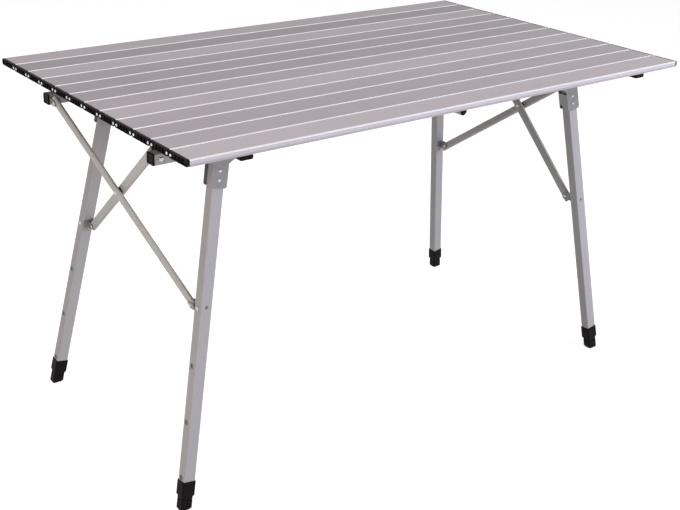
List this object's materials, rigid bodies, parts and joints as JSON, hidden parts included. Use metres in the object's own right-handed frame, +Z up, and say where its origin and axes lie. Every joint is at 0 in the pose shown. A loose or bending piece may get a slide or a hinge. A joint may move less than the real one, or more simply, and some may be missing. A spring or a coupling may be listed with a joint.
{
  "type": "folding camp table",
  "caption": "Camp table with a roll-up slatted aluminium top on a folding frame with crossed end braces and telescopic legs.",
  "frame": {"origin": "on the floor, midway between the feet, under the centre of the tabletop", "axes": "+X along the slats to the right, -Y towards the front, +Z up"},
  "size_m": [1.17, 0.6988, 0.695],
  "materials": {
    "slat_aluminium": "brushed, anodised",
    "frame_aluminium": "satin, anodised",
    "zinc_steel": "zinc plated",
    "bright_steel": "bright",
    "black_plastic": "moulded"
  },
  "bodies": {
    "cross_supports": {"cross_support_left": "frame_aluminium", "cross_support_middle": "frame_aluminium", "cross_support_right": "frame_aluminium"},
    "rear_rail": {"rail_rear": "frame_aluminium", "rail_cap_rear_left": "black_plastic", "rail_cap_rear_right": "black_plastic"},
    "front_rail": {"rail_front": "frame_aluminium", "rail_cap_front_left": "black_plastic", "rail_cap_front_right": "black_plastic"},
    "fork_front_left": {"rail_fork_front_left": "zinc_steel"},
    "fork_front_right": {"rail_fork_front_right": "zinc_steel"},
    "fork_rear_left": {"rail_fork_rear_left": "zinc_steel"},
    "fork_rear_right": {"rail_fork_rear_right": "zinc_steel"},
    "brace_to_front_left_leg": {"brace_front_left": "frame_aluminium", "brace_spacer_left": "black_plastic"},
    "brace_to_front_right_leg": {"brace_front_right": "frame_aluminium"},
    "brace_to_rear_left_leg": {"brace_rear_left": "frame_aluminium"},
    "brace_to_rear_right_leg": {"brace_rear_right": "frame_aluminium", "brace_spacer_right": "black_plastic"},
    "clip_front_left": {"brace_clip_front_left": "zinc_steel"},
    "clip_front_right": {"brace_clip_front_right": "zinc_steel"},
    "clip_rear_left": {"brace_clip_rear_left": "zinc_steel"},
    "clip_rear_right": {"brace_clip_rear_right": "zinc_steel"},
    "leg_front_left": {"leg_bracket_front_left": "zinc_steel", "leg_outer_front_left": "frame_aluminium", "leg_collar_front_left": "black_plastic"},
    "leg_front_right": {"leg_bracket_front_right": "zinc_steel", "leg_outer_front_right": "frame_aluminium", "leg_collar_front_right": "black_plastic"},
    "leg_rear_left": {"leg_bracket_rear_left": "zinc_steel", "leg_outer_rear_left": "frame_aluminium", "leg_collar_rear_left": "black_plastic"},
    "leg_rear_right": {"leg_bracket_rear_right": "zinc_steel", "leg_outer_rear_right": "frame_aluminium", "leg_collar_rear_right": "black_plastic"},
    "extension_front_left": {"leg_inner_front_left": "frame_aluminium", "foot_front_left": "black_plastic"},
    "extension_front_right": {"leg_inner_front_right": "frame_aluminium", "foot_front_right": "black_plastic"},
    "extension_rear_left": {"leg_inner_rear_left": "frame_aluminium", "foot_rear_left": "black_plastic"},
    "extension_rear_right": {"leg_inner_rear_right": "frame_aluminium", "foot_rear_right": "black_plastic"},
    "button_front_left": {"snap_button_front_left": "bright_steel"},
    "button_front_right": {"snap_button_front_right": "bright_steel"},
    "button_rear_left": {"snap_button_rear_left": "bright_steel"},
    "button_rear_right": {"snap_button_rear_right": "bright_steel"},
    "top_slat_01": {"slat_01": "slat_aluminium"},
    "top_slat_02": {"slat_02": "slat_aluminium"},
    "top_slat_03": {"slat_03": "slat_aluminium"},
    "top_slat_04": {"slat_04": "slat_aluminium"},
    "top_slat_05": {"slat_05": "slat_aluminium"},
    "top_slat_06": {"slat_06": "slat_aluminium"},
    "top_slat_07": {"slat_07": "slat_aluminium"},
    "top_slat_08": {"slat_08": "slat_aluminium"},
    "top_slat_09": {"slat_09": "slat_aluminium"},
    "top_slat_10": {"slat_10": "slat_aluminium"},
    "top_slat_11": {"slat_11": "slat_aluminium"},
    "top_slat_12": {"slat_12": "slat_aluminium"}
  },
  "joints": [
    {"name": "rear_rail_slide", "type": "slide", "parent": "cross_supports", "child": "rear_rail", "axis": [0, -1, 0], "range_m": [0, 0.0977]},
    {"name": "swivel_rear_left", "type": "hinge", "parent": "rear_rail", "child": "fork_rear_left", "pos_m": [-0.55, 0.198, 0.6484], "axis": [0, -1, 0], "range_deg": [0, 73]},
    {"name": "frame_fold", "type": "hinge", "parent": "fork_rear_left", "child": "brace_to_front_left_leg", "pos_m": [-0.55559, 0.1717, 0.64705], "axis": [0.9722, 0, 0.2341], "range_deg": [0, 32.4]},
    {"name": "crossing_left", "type": "hinge", "parent": "brace_to_front_left_leg", "child": "brace_to_rear_left_leg", "pos_m": [-0.52458, 0, 0.51829], "axis": [-0.9722, 0, -0.2341], "range_deg": [0, 64.8]},
    {"name": "brace_top_front_left", "type": "hinge", "parent": "brace_to_rear_left_leg", "child": "fork_front_left", "pos_m": [-0.54441, -0.1717, 0.64975], "axis": [0.9722, 0, 0.2341], "range_deg": [0, 32.4]},
    {"name": "swivel_front_left", "type": "hinge", "parent": "fork_front_left", "child": "front_rail", "pos_m": [-0.55, -0.198, 0.6484], "axis": [0, 1, 0], "range_deg": [0, 73]},
    {"name": "swivel_rear_right", "type": "hinge", "parent": "rear_rail", "child": "fork_rear_right", "pos_m": [0.55, 0.198, 0.6484], "axis": [0, 1, 0], "range_deg": [0, 68]},
    {"name": "brace_top_rear_right", "type": "hinge", "parent": "fork_rear_right", "child": "brace_to_front_right_leg", "pos_m": [0.54441, 0.1717, 0.64975], "axis": [0.9722, 0, -0.2341], "range_deg": [0, 32.4]},
    {"name": "swivel_front_right", "type": "hinge", "parent": "front_rail", "child": "fork_front_right", "pos_m": [0.55, -0.198, 0.6484], "axis": [0, 1, 0], "range_deg": [0, 68]},
    {"name": "brace_top_front_right", "type": "hinge", "parent": "fork_front_right", "child": "brace_to_rear_right_leg", "pos_m": [0.55559, -0.1717, 0.64705], "axis": [-0.9722, 0, 0.2341], "range_deg": [0, 32.4]},
    {"name": "clip_pivot_front_left", "type": "hinge", "parent": "brace_to_front_left_leg", "child": "clip_front_left", "pos_m": [-0.48837, -0.20047, 0.36796], "axis": [-0.9722, 0, -0.2341], "range_deg": [0, 32.4]},
    {"name": "clip_pivot_rear_left", "type": "hinge", "parent": "brace_to_rear_left_leg", "child": "clip_rear_left", "pos_m": [-0.47719, 0.20047, 0.37065], "axis": [0.9722, 0, 0.2341], "range_deg": [0, 32.4]},
    {"name": "clip_pivot_front_right", "type": "hinge", "parent": "brace_to_front_right_leg", "child": "clip_front_right", "pos_m": [0.47719, -0.20047, 0.37065], "axis": [-0.9722, 0, 0.2341], "range_deg": [0, 32.4]},
    {"name": "clip_pivot_rear_right", "type": "hinge", "parent": "brace_to_rear_right_leg", "child": "clip_rear_right", "pos_m": [0.48837, 0.20047, 0.36796], "axis": [0.9722, 0, -0.2341], "range_deg": [0, 32.4]},
    {"name": "leg_fold_front_left", "type": "hinge", "parent": "front_rail", "child": "leg_front_left", "pos_m": [-0.4034, -0.198, 0.6484], "axis": [0, -1, 0], "range_deg": [0, 100.34]},
    {"name": "leg_fold_rear_left", "type": "hinge", "parent": "rear_rail", "child": "leg_rear_left", "pos_m": [-0.4034, 0.198, 0.6484], "axis": [0, -1, 0], "range_deg": [0, 100.34]},
    {"name": "right_legs_fold", "type": "hinge", "parent": "front_rail", "child": "leg_front_right", "pos_m": [0.4034, -0.198, 0.6484], "axis": [0, 1, 0], "range_deg": [0, 94.34]},
    {"name": "leg_fold_rear_right", "type": "hinge", "parent": "rear_rail", "child": "leg_rear_right", "pos_m": [0.4034, 0.198, 0.6484], "axis": [0, 1, 0], "range_deg": [0, 94.34]},
    {"name": "leg_length_front_left", "type": "slide", "parent": "leg_front_left", "child": "extension_front_left", "axis": [-0.1785, -0.1071, -0.9781], "range_m": [0, 0.315], "deforming": ["snap_button_front_left"]},
    {"name": "leg_length_front_right", "type": "slide", "parent": "leg_front_right", "child": "extension_front_right", "axis": [0.1785, -0.1071, -0.9781], "range_m": [0, 0.315], "deforming": ["snap_button_front_right"]},
    {"name": "leg_length_rear_left", "type": "slide", "parent": "leg_rear_left", "child": "extension_rear_left", "axis": [-0.1785, 0.1071, -0.9781], "range_m": [0, 0.315], "deforming": ["snap_button_rear_left"]},
    {"name": "leg_length_rear_right", "type": "slide", "parent": "leg_rear_right", "child": "extension_rear_right", "axis": [0.1785, 0.1071, -0.9781], "range_m": [0, 0.315], "deforming": ["snap_button_rear_right"]},
    {"name": "press_button_front_left", "type": "slide", "parent": "extension_front_left", "child": "button_front_left", "axis": [0.9838, 0, -0.1795], "range_m": [0, 0.003], "stiffness_N_per_m": 2500, "springref_m": -0.001},
    {"name": "press_button_front_right", "type": "slide", "parent": "extension_front_right", "child": "button_front_right", "axis": [-0.9838, 0, -0.1795], "range_m": [0, 0.003], "stiffness_N_per_m": 2500, "springref_m": -0.001},
    {"name": "press_button_rear_left", "type": "slide", "parent": "extension_rear_left", "child": "button_rear_left", "axis": [0.9838, 0, -0.1795], "range_m": [0, 0.003], "stiffness_N_per_m": 2500, "springref_m": -0.001},
    {"name": "press_button_rear_right", "type": "slide", "parent": "extension_rear_right", "child": "button_rear_right", "axis": [-0.9838, 0, -0.1795], "range_m": [0, 0.003], "stiffness_N_per_m": 2500, "springref_m": -0.001},
    {"name": "top_lift", "type": "slide", "parent": "cross_supports", "child": "top_slat_06", "axis": [0, 0, 1], "range_m": [0, 1]},
    {"name": "slat_joint_06_07", "type": "hinge", "parent": "top_slat_06", "child": "top_slat_07", "pos_m": [0, 0, 0.6874], "axis": [-1, 0, 0], "range_deg": [0, 29]},
    {"name": "slat_joint_07_08", "type": "hinge", "parent": "top_slat_07", "child": "top_slat_08", "pos_m": [0, 0.05833, 0.6874], "axis": [-1, 0, 0], "range_deg": [0, 29]},
    {"name": "slat_joint_08_09", "type": "hinge", "parent": "top_slat_08", "child": "top_slat_09", "pos_m": [0, 0.11667, 0.6874], "axis": [-1, 0, 0], "range_deg": [0, 29]},
    {"name": "slat_joint_09_10", "type": "hinge", "parent": "top_slat_09", "child": "top_slat_10", "pos_m": [0, 0.175, 0.6874], "axis": [-1, 0, 0], "range_deg": [0, 29]},
    {"name": "slat_joint_10_11", "type": "hinge", "parent": "top_slat_10", "child": "top_slat_11", "pos_m": [0, 0.23333, 0.6874], "axis": [-1, 0, 0], "range_deg": [0, 29]},
    {"name": "slat_joint_11_12", "type": "hinge", "parent": "top_slat_11", "child": "top_slat_12", "pos_m": [0, 0.29167, 0.6874], "axis": [-1, 0, 0], "range_deg": [0, 29]},
    {"name": "slat_joint_05_06", "type": "hinge", "parent": "top_slat_06", "child": "top_slat_05", "pos_m": [0, -0.05833, 0.6874], "axis": [1, 0, 0], "range_deg": [0, 29]},
    {"name": "slat_joint_04_05", "type": "hinge", "parent": "top_slat_05", "child": "top_slat_04", "pos_m": [0, -0.11667, 0.6874], "axis": [1, 0, 0], "range_deg": [0, 29]},
    {"name": "slat_joint_03_04", "type": "hinge", "parent": "top_slat_04", "child": "top_slat_03", "pos_m": [0, -0.175, 0.6874], "axis": [1, 0, 0], "range_deg": [0, 29]},
    {"name": "slat_joint_02_03", "type": "hinge", "parent": "top_slat_03", "child": "top_slat_02", "pos_m": [0, -0.23333, 0.6874], "axis": [1, 0, 0], "range_deg": [0, 29]},
    {"name": "slat_joint_01_02", "type": "hinge", "parent": "top_slat_02", "child": "top_slat_01", "pos_m": [0, -0.29167, 0.6874], "axis": [1, 0, 0], "range_deg": [0, 29]}
  ],
  "couplings": [
    {"joint": "rear_rail_slide", "follows": "frame_fold", "m_per_rad": 0.1727},
    {"joint": "swivel_rear_left", "follows": "frame_fold", "ratio": 2.253},
    {"joint": "crossing_left", "follows": "frame_fold", "ratio": 2},
    {"joint": "brace_top_front_left", "follows": "frame_fold", "ratio": 1},
    {"joint": "swivel_front_left", "follows": "frame_fold", "ratio": 2.253},
    {"joint": "swivel_rear_right", "follows": "frame_fold", "ratio": 2.0987},
    {"joint": "brace_top_rear_right", "follows": "frame_fold", "ratio": 1},
    {"joint": "swivel_front_right", "follows": "frame_fold", "ratio": 2.0987},
    {"joint": "brace_top_front_right", "follows": "frame_fold", "ratio": 1},
    {"joint": "clip_pivot_front_left", "follows": "frame_fold", "ratio": 1},
    {"joint": "clip_pivot_rear_left", "follows": "frame_fold", "ratio": 1},
    {"joint": "clip_pivot_front_right", "follows": "frame_fold", "ratio": 1},
    {"joint": "clip_pivot_rear_right", "follows": "frame_fold", "ratio": 1},
    {"joint": "leg_fold_front_left", "follows": "frame_fold", "ratio": 3.0969},
    {"joint": "leg_fold_rear_left", "follows": "frame_fold", "ratio": 3.0969},
    {"joint": "leg_fold_rear_right", "follows": "right_legs_fold", "ratio": 1},
    {"joint": "slat_joint_06_07", "follows": "top_lift", "rad_per_m": 0.506},
    {"joint": "slat_joint_07_08", "follows": "top_lift", "rad_per_m": 0.506},
    {"joint": "slat_joint_08_09", "follows": "top_lift", "rad_per_m": 0.506},
    {"joint": "slat_joint_09_10", "follows": "top_lift", "rad_per_m": 0.506},
    {"joint": "slat_joint_10_11", "follows": "top_lift", "rad_per_m": 0.506},
    {"joint": "slat_joint_11_12", "follows": "top_lift", "rad_per_m": 0.506},
    {"joint": "slat_joint_05_06", "follows": "top_lift", "rad_per_m": 0.506},
    {"joint": "slat_joint_04_05", "follows": "top_lift", "rad_per_m": 0.506},
    {"joint": "slat_joint_03_04", "follows": "top_lift", "rad_per_m": 0.506},
    {"joint": "slat_joint_02_03", "follows": "top_lift", "rad_per_m": 0.506},
    {"joint": "slat_joint_01_02", "follows": "top_lift", "rad_per_m": 0.506}
  ]
}
